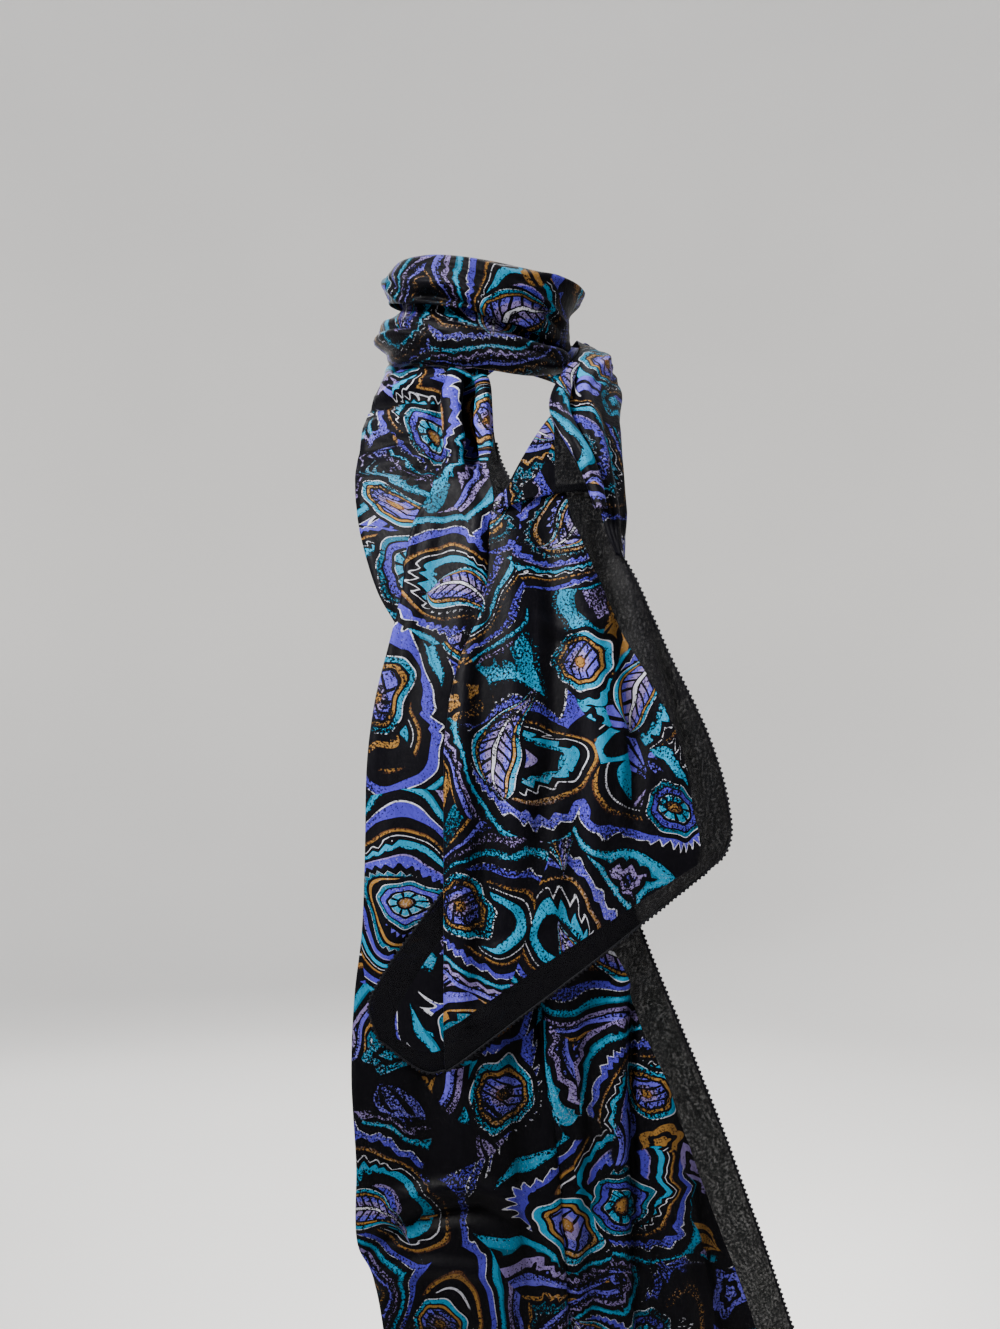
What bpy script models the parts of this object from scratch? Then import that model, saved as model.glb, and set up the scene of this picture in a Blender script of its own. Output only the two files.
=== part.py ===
"""A silk scarf as it is worn: one turn and a half round the neck, both ends hanging in front.

Metres, +Z up. The front of the scarf faces -Y and the viewer's right is +X. The origin is on the
neck's axis at mid-height of the collar. The tables below are in millimetres and degrees.
"""

import math
from collections import namedtuple

import bpy
import numpy as np

MM = 0.001
WALL = 1.3                     # cloth as a rigid wall
NECK_R = 50.5                  # inner face of the collar
SEAM_GAP = 0.6                 # between two stretches of the same cloth

LEFT_LIFT = 3.0                # the left tail's lowest layer above the chest
PLEAT_STEP = 3.8               # from one layer of a pleat to the next
HAIRPIN = 4.5                  # where a layer starts to turn, from its fold
PANEL_LIFT = 23.2              # the right tail's panel above the chest

BLACK = (0.012, 0.012, 0.018)
VIOLET = (0.10, 0.09, 0.42)
TEAL = (0.02, 0.22, 0.28)
LAVENDER = (0.25, 0.21, 0.45)
OCHRE = (0.33, 0.20, 0.06)

# The chest of a general figure: its front at the middle, and how fast it falls back to the sides.
Chest = namedtuple("Chest", "z front curve")
CHEST = (
    Chest(-830, -108, 0.0005),
    Chest(-600, -111, 0.0006),
    Chest(-450, -114, 0.0008),
    Chest(-330, -117, 0.0010),
    Chest(-280, -113, 0.0011),
    Chest(-230, -106, 0.0013),
    Chest(-180, -96, 0.0018),
    Chest(-130, -82, 0.0030),
    Chest(-90, -69, 0.0050),
    Chest(-60, -60, 0.0080),
    Chest(-40, -56, 0.0100),
)

# The collar, a row for each angle from the front, positive to the viewer's right.
Ring = namedtuple("Ring", "angle top_z brim_r upper_r crease_z lip_r lower_r bottom_z bottom_r")
COLLAR = (
    Ring(-118, 30, 64, 67, 6, 64, 68, -30, 62),
    Ring(-90, 31, 66, 69, 7, 67, 73, -36, 66),
    Ring(-60, 32, 66, 69, 1, 67, 73, -39, 67),
    Ring(-30, 30, 65, 68, -5, 67, 72, -44, 67),
    Ring(0, 25, 65, 68, -13, 66, 71, -48, 66),
    Ring(30, 20, 65, 68, -22, 65, 70, -51, 65),
    Ring(60, 18, 66, 66, -28, 62, 67, -46, 63),
    Ring(90, 15, 66, 61, -26, 60.5, 62, -40, 59),
    Ring(118, 16, 63, 61, -22, 60.5, 62, -38, 58),
)

# A stretch round the nape: where it is seen from above, its top and bottom, its inner and outer radius.
Band = namedtuple("Band", "angle top_z bottom_z inner_r outer_r")
NAPE_INNER = (
    Band(-118.9, 30, -30, 51, 67),
    Band(-132, 33, -31, 51, 66),
    Band(-146, 34, -29, 51, 64),
    Band(-163, 30, -28, 51, 62),
    Band(-180, 18, -34, 51, 61),
    Band(-197, -3, -46, 52, 62),
    Band(-212, -13, -55, 59, 72),
    Band(-226, -11, -57, 66, 80),
    Band(-240, -4, -55, 69, 84),
    Band(-254, 2, -51, 70, 86),
)
NAPE_OUTER = (
    Band(118.9, 16, -38, 51, 62),
    Band(130, 26, -24, 51, 63),
    Band(144, 34, -8, 54, 67),
    Band(161, 36, -16, 63, 76),
    Band(180, 32, -32, 66, 80),
    Band(199, 20, -48, 68, 83),
    Band(216, 2, -60, 69, 84),
    Band(233, -18, -68, 67, 82),
    Band(250, -32, -71, 63, 77),
    Band(270, -41, -71, 57, 71),
    Band(288, -46, -69, 54, 67),
)

# Soft ridges on the collar, from one angle and height to another, half as wide and as high as stated.
Ridge = namedtuple("Ridge", "a0 b0 a1 b1 half height")
COLLAR_RIDGES = (
    Ridge(-48, 17, 12, -13, 8, 4.5),
    Ridge(-42, 4, -8, -8, 9, -4.0),
    Ridge(28, 10, 78, 2, 7, 3.0),
    Ridge(30, -8, 70, -16, 9, -3.0),
)
LOWER_RIDGES = (
    Ridge(-100, -24, -60, -22, 8, 2.5),
    Ridge(-8, -30, 50, -38, 8, -3.0),
)

# The left tail, a row for each height. The rear layer runs from its edge to the tuck, the next one back to the
# pleat, and the front one from the pleat over the groove to the hem. Where pleat is 0 the three are one layer.
Tail = namedtuple("Tail", "z hem_z rear_x tuck_x edge_x pleat groove_x groove hem_x out")
LEFT_TAIL = (
    Tail(-43.2, -51.8, -57, -32, -32, 0.0, -12, 2, 0, -4),
    Tail(-47, -55, -66, -32, -32, 0.0, -11, 4, 4, 1),
    Tail(-58, -62, -73, -31, -31, 0.0, -10, 7, 6, 1),
    Tail(-76, -76, -79, -30, -30, 0.0, -9, 10, 7, 0),
    Tail(-94, -94, -82, -28, -28, 0.04, -8, 11, 8, 0),
    Tail(-112, -112, -84, -20, -30, 0.14, -6, 9, 12, 0),
    Tail(-130, -130, -84, -15, -36, 0.65, -2, 4, 20, 0),
    Tail(-152, -152, -81, -14, -43, 1.0, 3, 1, 27, 0),
    Tail(-178, -178, -74, -12, -48, 1.0, 8, 0, 35, 0),
    Tail(-200, -200, -66, -14, -51, 1.0, 12, 0, 42, 0),
    Tail(-230, -230, -50, -16, -58, 1.0, 15, 0, 50, 0),
    Tail(-268, -268, -46, -18, -67, 1.0, 18, 0, 60, 0),
    Tail(-310, -310, -48, -20, -72, 1.0, 22, 1, 72, 0),
    Tail(-360, -358, -50, -22, -73, 1.0, 27, 3, 86, 0),
    Tail(-412, -410, -52, -24, -75, 1.0, 32, 5, 100, 0),
    Tail(-455, -450, -56, -26, -80, 1.0, 36, 6, 116, -1),
    Tail(-505, -498, -58, -28, -82, 1.0, 42, 7, 136, -1),
    Tail(-560, -548, -56, -26, -78, 1.0, 46, 7, 156, -1),
    Tail(-618, -600, -50, -22, -68, 1.0, 50, 8, 175, -1),
    Tail(-680, -655, -44, -18, -61, 1.0, 54, 8, 194, -1),
    Tail(-740, -705, -42, -16, -58, 1.0, 58, 8, 212, -1),
    Tail(-800, -752, -42, -14, -56, 1.0, 62, 8, 229, -1),
)
LEFT_SPLIT = 13                # the row where the upper stretch ends, under the other tail

# The right tail's panel, a row for each line across the cloth, from the V of the neckline to the end hem.
Panel = namedtuple("Panel", "hem_x hem_z edge_x edge_z tuck_x tuck_z left_x left_z drop pleat")
RIGHT_PANEL = (
    Panel(74, -126, 10, -136, 22, -134, 18, -136, 0, 0.7),
    Panel(78, -144, 6, -152, 22, -150, 18, -152, 0, 0.9),
    Panel(86, -168, 5, -178, 22, -176, 18, -178, 0, 1.0),
    Panel(97, -192, 1, -208, 20, -206, 16, -209, 0, 1.0),
    Panel(112, -222, -14, -244, 12, -241, 8, -244, 0, 1.0),
    Panel(128, -256, -22, -288, 6, -284, 1, -287, 0, 1.0),
    Panel(143, -288, -23, -334, 4, -329, -3, -333, 0, 1.0),
    Panel(152, -314, -23, -374, 2, -369, -16, -375, 0, 1.0),
    Panel(157, -337, -23, -414, 2, -409, -38, -406, 1, 1.0),
    Panel(158, -353, -23, -452, 2, -444, -60, -438, 5, 1.0),
    Panel(153, -366, -23, -478, 2, -467, -70, -459, 10, 1.0),
    Panel(140, -377, -22, -498, 2, -484, -64, -480, 18, 1.0),
)

# The right tail's shoulder stretch: four places across the cloth, for each line from the nape to its point.
Shoulder = namedtuple("Shoulder", "inner crown side outer")
RIGHT_SHOULDER = (
    Shoulder((68, 18.5, 0), (82, 22.5, -8), (83, 22.8, -36), (70, 19.1, -49)),
    Shoulder((71, 4, -4), (83, 6, -16), (87, 8, -42), (79, 8, -60)),
    Shoulder((69, -18, -22), (80, -22, -28), (90, -16, -46), (88, -2, -64)),
    Shoulder((60, -38, -44), (72, -46, -48), (90, -34, -58), (92, -12, -70)),
    Shoulder((58, -52, -64), (70, -66, -66), (90, -52, -76), (93, -26, -86)),
    Shoulder((62, -76, -88), (74, -84, -90), (90, -68, -98), (91, -42, -106)),
    Shoulder((70, -90, -110), (79, -95, -112), (91, -80, -120), (91, -56, -126)),
    Shoulder((74, -98, -136), (83, -103, -138), (92, -92, -144), (93, -72, -148)),
    Shoulder((80, -105, -160), (87, -109, -162), (93, -102, -166), (96, -88, -168)),
    Shoulder((87, -109, -176), (91, -111, -177), (95, -107, -178), (98, -98, -179)),
)

# The roll that falls from the collar's right corner, and the flap beside it.
Roll = namedtuple("Roll", "x y z radius")
RIGHT_ROLL = (
    Roll(53, -60, -58, 5.5),
    Roll(51, -79, -76, 7.0),
    Roll(57, -96.2, -94, 7.0),
    Roll(66, -107.2, -112, 6.5),
    Roll(72, -113.2, -130, 5.5),
    Roll(76, -118, -146, 4.0),
)
Flap = namedtuple("Flap", "left_x left_z right_x right_z left_lift right_lift")
RIGHT_FLAP = (
    Flap(43, -84, 50, -86, 17, 17),
    Flap(34, -98, 58, -98, 25, 23),
    Flap(24, -116, 66, -112, 28, 25),
    Flap(15, -134, 72, -124, 28.8, 26.5),
    Flap(8, -148, 76, -133, 28.8, 26.5),
)
FLAP_ARCH = 4.0                # how far its lower edge rises in the middle


def catmull_rom(keys, counts):
    """Points on a centripetal Catmull-Rom curve through the keys, counts[i] steps in interval i."""
    keys = np.asarray(keys, float)
    first = 2 * keys[0] - keys[1]
    last = 2 * keys[-1] - keys[-2]
    ends = np.vstack([first, keys, last])
    points = []
    for i, steps in enumerate(counts):
        p0, p1, p2, p3 = ends[i:i + 4]
        gaps = [max(np.linalg.norm(b - a), 1e-6) ** 0.5 for a, b in ((p0, p1), (p1, p2), (p2, p3))]
        slope1 = (p1 - p0) / gaps[0] - (p2 - p0) / (gaps[0] + gaps[1]) + (p2 - p1) / gaps[1]
        slope2 = (p2 - p1) / gaps[1] - (p3 - p1) / (gaps[1] + gaps[2]) + (p3 - p2) / gaps[2]
        slope1 = slope1 * gaps[1]
        slope2 = slope2 * gaps[1]
        for step in range(steps):
            t = step / steps
            points.append(
                (2 * t**3 - 3 * t**2 + 1) * p1
                + (t**3 - 2 * t**2 + t) * slope1
                + (3 * t**2 - 2 * t**3) * p2
                + (t**3 - t**2) * slope2
            )
    points.append(keys[-1])
    return np.array(points)


def loft(sections, along, across):
    """A grid through sections of key points: along steps between two sections, across[i] between two keys."""
    sections = np.asarray(sections, float)
    lines = [catmull_rom(sections[:, k], [along] * (len(sections) - 1)) for k in range(sections.shape[1])]
    rows = np.stack(lines, axis=1)
    return np.stack([catmull_rom(row, across) for row in rows])


def chest(x, z):
    """How far forward the chest lies at this place, as a Y."""
    heights = [row.z for row in CHEST]
    front = np.interp(z, heights, [row.front for row in CHEST])
    curve = np.interp(z, heights, [row.curve for row in CHEST])
    return front + np.minimum(curve * x * x, 62)


def ring(angle, radius, z):
    turn = math.radians(angle)
    return (radius * math.sin(turn), -radius * math.cos(turn), z)


def bell(distance, half):
    """A soft mound: 1 at its middle and 0 from its half width on."""
    near = np.clip(np.abs(distance) / half, 0, 1)
    return (1 - near * near) ** 2


def ridge_height(ridge, a, b):
    """How high a ridge stands at the places (a, b), fading at both of its ends."""
    direction = np.array([ridge.a1 - ridge.a0, ridge.b1 - ridge.b0], float)
    length = np.linalg.norm(direction)
    direction = direction / length
    along = (a - ridge.a0) * direction[0] + (b - ridge.b0) * direction[1]
    aside = (a - ridge.a0) * direction[1] - (b - ridge.b0) * direction[0]
    beyond = np.maximum(0, np.maximum(-along, along - length))
    return ridge.height * bell(aside, ridge.half) * bell(beyond, 1.5 * ridge.half)


def ridged_collar(grid, ridges, first_column):
    """The outer face of a collar grid, moved out along its radius by the ridges. Angles count as millimetres."""
    for column in range(first_column, grid.shape[1]):
        x, y, z = grid[:, column].T
        radius = np.hypot(x, y)
        angle = np.degrees(np.arctan2(x, -y))
        lift = sum(ridge_height(ridge, angle, z) for ridge in ridges)
        grid[:, column, 0] = x * (radius + lift) / radius
        grid[:, column, 1] = y * (radius + lift) / radius
    return grid


def new_collection(name):
    collection = bpy.data.collections.new(name)
    bpy.context.scene.collection.children.link(collection)
    return collection


def silk(name, colour):
    material = bpy.data.materials.new(name)
    material.use_nodes = True
    shader = material.node_tree.nodes["Principled BSDF"]
    shader.inputs["Base Color"].default_value = (*colour, 1)
    shader.inputs["Roughness"].default_value = 0.45
    shader.inputs["Metallic"].default_value = 0
    return material


def cloth(name, grid, colour, collection):
    """A named wall of cloth from a grid of points in millimetres: the open sheet, thickened both ways."""
    rows, columns = grid.shape[:2]
    points = (grid.reshape(-1, 3) * MM).tolist()
    faces = []
    for i in range(rows - 1):
        for j in range(columns - 1):
            corner = i * columns + j
            faces.append((corner, corner + columns, corner + columns + 1, corner + 1))
    mesh = bpy.data.meshes.new(name)
    mesh.from_pydata(points, [], faces)
    mesh.shade_smooth()
    mesh.materials.append(silk(name, colour))
    piece = bpy.data.objects.new(name, mesh)
    wall = piece.modifiers.new("wall", "SOLIDIFY")
    wall.thickness = WALL * MM
    wall.offset = 0
    collection.objects.link(piece)
    return piece


def upper_roll():
    """The upper half of the band across the throat: up inside, over the top and down to the crease."""
    sections = []
    for row in COLLAR:
        middle = 0.5 * (row.top_z + row.crease_z)
        face = row.top_z + 0.45 * (row.crease_z - row.top_z)
        sections.append([
            ring(row.angle, NECK_R + 0.5, row.crease_z - 5),
            ring(row.angle, NECK_R, middle),
            ring(row.angle, NECK_R + 1.5, row.top_z - 5),
            ring(row.angle, row.brim_r - 7, row.top_z),
            ring(row.angle, row.brim_r, row.top_z - 5),
            ring(row.angle, row.upper_r, face),
            ring(row.angle, row.lip_r, row.crease_z + 2),
            ring(row.angle, row.lip_r - 2, row.crease_z),
        ])
    grid = loft(sections, 3, (1, 2, 2, 2, 2, 3, 1))
    return ridged_collar(grid, COLLAR_RIDGES, 8)


def lower_roll():
    """The lower half: from inside the upper roll out over its own bulge, round the bottom and up inside."""
    sections = []
    for row in COLLAR:
        middle = 0.5 * (row.crease_z + row.bottom_z)
        sections.append([
            ring(row.angle, NECK_R + 3.8, row.crease_z + 5),
            ring(row.angle, NECK_R + 5, row.crease_z - 3),
            ring(row.angle, row.lower_r - 1, middle + 4),
            ring(row.angle, row.lower_r, middle - 4),
            ring(row.angle, row.bottom_r - 3, row.bottom_z),
            ring(row.angle, NECK_R + 3.5, row.bottom_z + 4),
            ring(row.angle, NECK_R + 2.5, row.bottom_z + 9),
        ])
    grid = loft(sections, 3, (2, 2, 2, 3, 2, 1))
    return ridged_collar(grid, LOWER_RIDGES, 3)


def nape_pass(bands):
    """A stretch round the nape, open at its inner side, with a soft groove along its outer face."""
    sections = []
    for row in bands:
        height = row.top_z - row.bottom_z
        depth = row.outer_r - row.inner_r
        sections.append([
            ring(row.angle, row.inner_r, row.top_z - 0.55 * height),
            ring(row.angle, row.inner_r + 0.2 * depth, row.top_z - 0.15 * height),
            ring(row.angle, row.inner_r + 0.5 * depth, row.top_z),
            ring(row.angle, row.outer_r, row.top_z - 0.25 * height),
            ring(row.angle, row.outer_r - 0.22 * depth, row.top_z - 0.5 * height),
            ring(row.angle, row.outer_r, row.top_z - 0.75 * height),
            ring(row.angle, row.inner_r + 0.5 * depth, row.bottom_z),
            ring(row.angle, row.inner_r + 0.2 * depth, row.bottom_z + 0.15 * height),
        ])
    return loft(sections, 2, (1, 2, 2, 2, 2, 2, 1))


def left_tail():
    """Three layers where the pleat is, and one above it."""
    sections = []
    for row in LEFT_TAIL:
        fold = 0.5 * (row.tuck_x + row.edge_x)
        turn = HAIRPIN * max(row.pleat, 0.3)
        flat = [row.rear_x, 0.5 * (row.rear_x + fold)] + [fold + step for step in (-9, -5, -2, 2, 5, 9)]
        folded = (
            row.rear_x,
            0.5 * (row.rear_x + row.tuck_x),
            row.tuck_x - turn,
            row.tuck_x,
            row.tuck_x - turn,
            row.edge_x + turn,
            row.edge_x,
            row.edge_x + turn,
        )
        layer = PLEAT_STEP * math.sin(0.5 * math.pi * min(3 * row.pleat, 1))
        slope = 1 - row.pleat
        lifts = (0, 0, 0, 0.5 - 0.2 * slope, 1 - 0.4 * slope, 1 + 0.4 * slope, 1.5 + 0.2 * slope, 2)
        places = [
            (a + row.pleat * (b - a), lift * layer)
            for a, b, lift in zip(flat, folded, lifts)
        ]
        wide = row.pleat > 0.5
        places += [
            (row.groove_x - 9, 2 * layer + 3),
            (row.groove_x, 2 * layer + 1 - 0.6 * row.groove),
            (row.groove_x + (9 if wide else 5), 2 * layer + 3),
            (0.5 * (row.groove_x + row.hem_x) + (4 if wide else 3), 2 * layer + 1),
            (row.hem_x, 2 * layer - 1),
        ]
        section = []
        for x, lift in places:
            share = (x - row.edge_x) / (row.hem_x - row.edge_x)
            z = row.z + min(max(share, 0), 1) * (row.hem_z - row.z)
            section.append((x, chest(x, z) - LEFT_LIFT - lift - row.out, z))
        sections.append(section)
    return loft(sections, 2, (2, 1, 1, 1, 1, 1, 1, 3, 2, 2, 2, 3))


def split(grid, row):
    """Two stretches of one grid, parted by the seam gap."""
    upper = grid[:row + 1].copy()
    lower = grid[row:].copy()
    upper[-1, :, 2] += 0.5 * SEAM_GAP
    lower[0, :, 2] -= 0.5 * SEAM_GAP
    return upper, lower


def right_panel():
    """The panel on top, from its right hem to the pleat at its left, back under it and out to the other hem."""
    sections = []
    for row in RIGHT_PANEL:
        front = PANEL_LIFT
        layer = PLEAT_STEP * row.pleat
        hem = np.array([row.hem_x, row.hem_z], float)
        edge = np.array([row.edge_x, row.edge_z], float)
        tuck = np.array([row.tuck_x, row.tuck_z], float)
        left = np.array([row.left_x, row.left_z], float)
        across = (hem - edge) / np.linalg.norm(hem - edge)
        back = (tuck - edge) / np.linalg.norm(tuck - edge)
        places = [
            (hem, front - 3),
            (hem + 0.22 * (edge - hem), front),
            (hem + 0.45 * (edge - hem), front + 2),
            (hem + 0.70 * (edge - hem), front + 1),
            (edge + 2 * HAIRPIN * across, front + 2),
            (edge, front - 0.5 * layer + 1),
            (edge + HAIRPIN * back, front - layer),
            (tuck - HAIRPIN * back, front - layer),
            (tuck, front - 1.5 * layer),
            (tuck + 0.5 * (left - tuck) - np.array([0, row.drop]), front - 2 * layer),
            (left, front - 2 * layer),
        ]
        sections.append([(x, chest(x, z) - lift, z) for (x, z), lift in places])
    return loft(sections, 2, (2, 2, 2, 2, 2, 2, 1, 1, 2, 3))


def right_shoulder():
    sections = [[row.inner, row.crown, row.side, row.outer] for row in RIGHT_SHOULDER]
    return loft(sections, 2, (2, 3, 3))


def right_roll():
    """A roll of cloth, open along its back."""
    sections = []
    for row in RIGHT_ROLL:
        section = []
        for turn in (-115, -60, 0, 60, 115):
            angle = math.radians(turn)
            section.append((
                row.x + row.radius * math.sin(angle),
                row.y - row.radius * math.cos(angle) + row.radius,
                row.z,
            ))
        sections.append(section)
    return loft(sections, 3, (2, 2, 2, 2))


def right_flap():
    sections = []
    for row in RIGHT_FLAP:
        section = []
        for share in (0, 0.35, 0.7, 1):
            x = row.left_x + share * (row.right_x - row.left_x)
            z = row.left_z + share * (row.right_z - row.left_z) + FLAP_ARCH * math.sin(math.pi * share)
            lift = row.left_lift + share * (row.right_lift - row.left_lift)
            section.append((x, chest(x, z) - lift, z))
        sections.append(section)
    return loft(sections, 2, (2, 2, 2))


def main():
    for old in list(bpy.data.objects):
        bpy.data.objects.remove(old)
    scarf = new_collection("silk_scarf")
    cloth("collar_upper_roll", upper_roll(), VIOLET, scarf)
    cloth("collar_lower_roll", lower_roll(), TEAL, scarf)
    cloth("nape_inner_pass", nape_pass(NAPE_INNER), LAVENDER, scarf)
    cloth("nape_outer_pass", nape_pass(NAPE_OUTER), VIOLET, scarf)
    upper, lower = split(left_tail(), 2 * LEFT_SPLIT)
    cloth("left_tail_upper", upper, TEAL, scarf)
    cloth("left_tail_lower", lower, TEAL, scarf)
    cloth("right_tail_shoulder", right_shoulder(), LAVENDER, scarf)
    cloth("right_tail_roll", right_roll(), OCHRE, scarf)
    cloth("right_tail_flap", right_flap(), BLACK, scarf)
    cloth("right_tail_panel", right_panel(), VIOLET, scarf)


main()
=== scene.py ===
import math
import bpy
import numpy as np
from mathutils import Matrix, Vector, noise


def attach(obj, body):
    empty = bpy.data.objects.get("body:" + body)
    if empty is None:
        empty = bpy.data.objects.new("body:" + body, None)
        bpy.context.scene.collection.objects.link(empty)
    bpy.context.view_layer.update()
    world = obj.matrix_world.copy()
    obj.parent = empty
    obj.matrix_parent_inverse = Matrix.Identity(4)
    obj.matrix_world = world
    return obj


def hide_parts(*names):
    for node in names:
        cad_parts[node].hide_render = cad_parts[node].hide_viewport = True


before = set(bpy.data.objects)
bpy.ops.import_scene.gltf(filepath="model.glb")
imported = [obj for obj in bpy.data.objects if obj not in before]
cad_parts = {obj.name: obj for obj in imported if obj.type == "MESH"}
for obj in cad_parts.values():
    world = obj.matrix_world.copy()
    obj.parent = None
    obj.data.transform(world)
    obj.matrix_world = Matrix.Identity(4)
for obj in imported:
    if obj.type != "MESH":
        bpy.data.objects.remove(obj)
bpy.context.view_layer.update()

# silk scarf, wound once round the neck, both ends hanging in front
# tables are in millimetres and degrees, the scene itself is in metres
mm = 0.001
shell = 0.5            # how thick the cloth is modelled
neckRadius = 50.5
borderWidth = 24.0     # plain black round the print
farAway = 500.0        # a hem this far off leaves no border

# the chest of a general figure: height, front, how fast it falls back to the sides
chestRows = np.array([
    (-830, -108, 0.0005), (-600, -111, 0.0006), (-450, -114, 0.0008), (-330, -117, 0.0010),
    (-280, -113, 0.0011), (-230, -106, 0.0013), (-180, -96, 0.0018), (-130, -82, 0.0030),
    (-90, -69, 0.0050), (-60, -60, 0.0080), (-40, -56, 0.0100),
])
chestDepth = 62        # the most that its sides fall back


def curveThrough(keys, counts):      # centripetal Catmull-Rom along the first axis
    keys = np.asarray(keys, float)
    ends = np.concatenate([[2 * keys[0] - keys[1]], keys, [2 * keys[-1] - keys[-2]]])
    points = []
    for i, steps in enumerate(counts):
        p0, p1, p2, p3 = ends[i:i + 4]
        g0, g1, g2 = (np.sqrt(np.maximum(np.linalg.norm(b - a, axis=-1, keepdims=True), 1e-6))
                      for a, b in ((p0, p1), (p1, p2), (p2, p3)))
        m1 = ((p1 - p0) / g0 - (p2 - p0) / (g0 + g1) + (p2 - p1) / g1) * g1
        m2 = ((p2 - p1) / g1 - (p3 - p1) / (g1 + g2) + (p3 - p2) / g2) * g1
        for step in range(steps):
            t = step / steps
            points.append((2 * t**3 - 3 * t**2 + 1) * p1 + (t**3 - 2 * t**2 + t) * m1
                          + (3 * t**2 - 2 * t**3) * p2 + (t**3 - t**2) * m2)
    points.append(keys[-1])
    return np.array(points)


def loft(sections, along, across):
    rows = curveThrough(sections, along)
    return np.swapaxes(curveThrough(np.swapaxes(rows, 0, 1), across), 0, 1)


def chestFront(x, z):
    front = np.interp(z, chestRows[:, 0], chestRows[:, 1])
    curve = np.interp(z, chestRows[:, 0], chestRows[:, 2])
    return front + np.minimum(curve * x * x, chestDepth)


def ringPoint(angle, radius, z):
    turn = math.radians(angle)
    return (radius * math.sin(turn), -radius * math.cos(turn), z)


def creaseLift(creases, a, b):       # soft ridges (+) and troughs (-) along short paths
    lift = np.zeros_like(a)
    for path, half, height in creases:
        path = np.array(path, float)
        steps = np.linalg.norm(np.diff(path, axis=0), axis=1)
        whole = steps.sum()
        nearest = np.full_like(a, 1e9)
        place = np.zeros_like(a)
        done = 0.0
        for (a0, b0), (a1, b1), step in zip(path[:-1], path[1:], steps):
            t = np.clip(((a - a0) * (a1 - a0) + (b - b0) * (b1 - b0)) / step**2, 0, 1)
            gap = np.hypot(a - a0 - t * (a1 - a0), b - b0 - t * (b1 - b0))
            closer = gap < nearest
            nearest = np.where(closer, gap, nearest)
            place = np.where(closer, (done + t * step) / whole, place)
            done += step
        near = np.clip(nearest / half, 0, 1)
        fade = np.clip(np.minimum(place, 1 - place) * 5, 0.12, 1) ** 0.7     # runs out over a fifth at each end
        lift += height * fade * (1 - near * near) ** 2
    return lift


def gridNormals(grid):
    down = np.gradient(grid, axis=0)
    side = np.gradient(grid, axis=1)
    normal = np.cross(down, side)
    return normal / np.maximum(np.linalg.norm(normal, axis=2, keepdims=True), 1e-9)


def pushed(grid, lift, outward=1):
    return grid + outward * gridNormals(grid) * lift[..., None]


def ripple(a, b, sizeA, sizeB, seed):      # fine uneven waves, always the same ones
    flat = [noise.noise((x / sizeA, y / sizeB, seed)) for x, y in zip(a.ravel(), b.ravel())]
    return np.array(flat).reshape(a.shape)


def rowArc(grid, reference):         # length along each row, from a reference column
    steps = np.linalg.norm(np.diff(grid, axis=1), axis=2)
    arc = np.concatenate([np.zeros((len(grid), 1)), np.cumsum(steps, axis=1)], axis=1)
    return arc - arc[:, [reference]]


def columnArc(grid, reference):
    return rowArc(np.swapaxes(grid, 0, 1), reference).T


print("cloth helpers ready")


def feed(tree, socket, value):
    if isinstance(value, bpy.types.NodeSocket):
        tree.links.new(value, socket)
    else:
        socket.default_value = value


def feedAll(tree, node, **inputs):       # inputs by name, or i0, i1 and so on by place
    for key, value in inputs.items():
        byPlace = key[0] == "i" and key[1:].isdigit()
        feed(tree, node.inputs[int(key[1:]) if byPlace else key.replace("_", " ")], value)


def addNode(tree, kind, settings=None, **inputs):
    node = tree.nodes.new("ShaderNode" + kind)
    for key, value in (settings or {}).items():
        setattr(node, key, value)
    feedAll(tree, node, **inputs)
    return node


def noise2d(tree, vector, scale, detail, **inputs):
    return addNode(tree, "TexNoise", {"noise_dimensions": "2D"}, Vector=vector, Scale=scale,
                   Detail=detail, **inputs)


def vectorCalc(tree, operation, a, b, **inputs):
    return addNode(tree, "VectorMath", {"operation": operation}, i0=a, i1=b, **inputs).outputs[0]


def calc(tree, operation, *values):
    inputs = {f"i{place}": value for place, value in enumerate(values)}
    return addNode(tree, "Math", {"operation": operation}, **inputs).outputs[0]


def times(tree, a, b):
    return calc(tree, "MULTIPLY", a, b)


def timesPlus(tree, a, b, c):
    return calc(tree, "MULTIPLY_ADD", a, b, c)


def softStep(tree, value, low, high):    # 0 below low, 1 above high, soft between
    return addNode(tree, "MapRange", {"interpolation_type": "SMOOTHSTEP"},
                   i0=value, i1=low, i2=high, i3=0.0, i4=1.0).outputs[0]


def blendColour(tree, factor, a, b, kind="MIX"):
    a, b = ((*value, 1) if isinstance(value, tuple) else value for value in (a, b))
    return addNode(tree, "Mix", {"data_type": "RGBA", "blend_type": kind}, i0=factor, i6=a, i7=b).outputs[2]


def ramp(tree, factor, stops, kind="CONSTANT"):
    node = addNode(tree, "ValToRGB", i0=factor)
    colours = node.color_ramp
    colours.interpolation = kind
    while len(colours.elements) < len(stops):
        colours.elements.new(1.0)
    for element, (place, colour) in zip(colours.elements, stops):
        element.position = place
        element.color = (*inks.get(colour, colour), 1)
    return node.outputs[0]


def newGroup(name, ins, outs):
    tree = bpy.data.node_groups.new(name, "ShaderNodeTree")
    for label, kind, value in ins:
        socket = tree.interface.new_socket(label, in_out="INPUT", socket_type="NodeSocket" + kind)
        if value is not None:
            socket.default_value = value
    for label, kind in outs:
        tree.interface.new_socket(label, in_out="OUTPUT", socket_type="NodeSocket" + kind)
    return tree, tree.nodes.new("NodeGroupInput"), tree.nodes.new("NodeGroupOutput")


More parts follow.
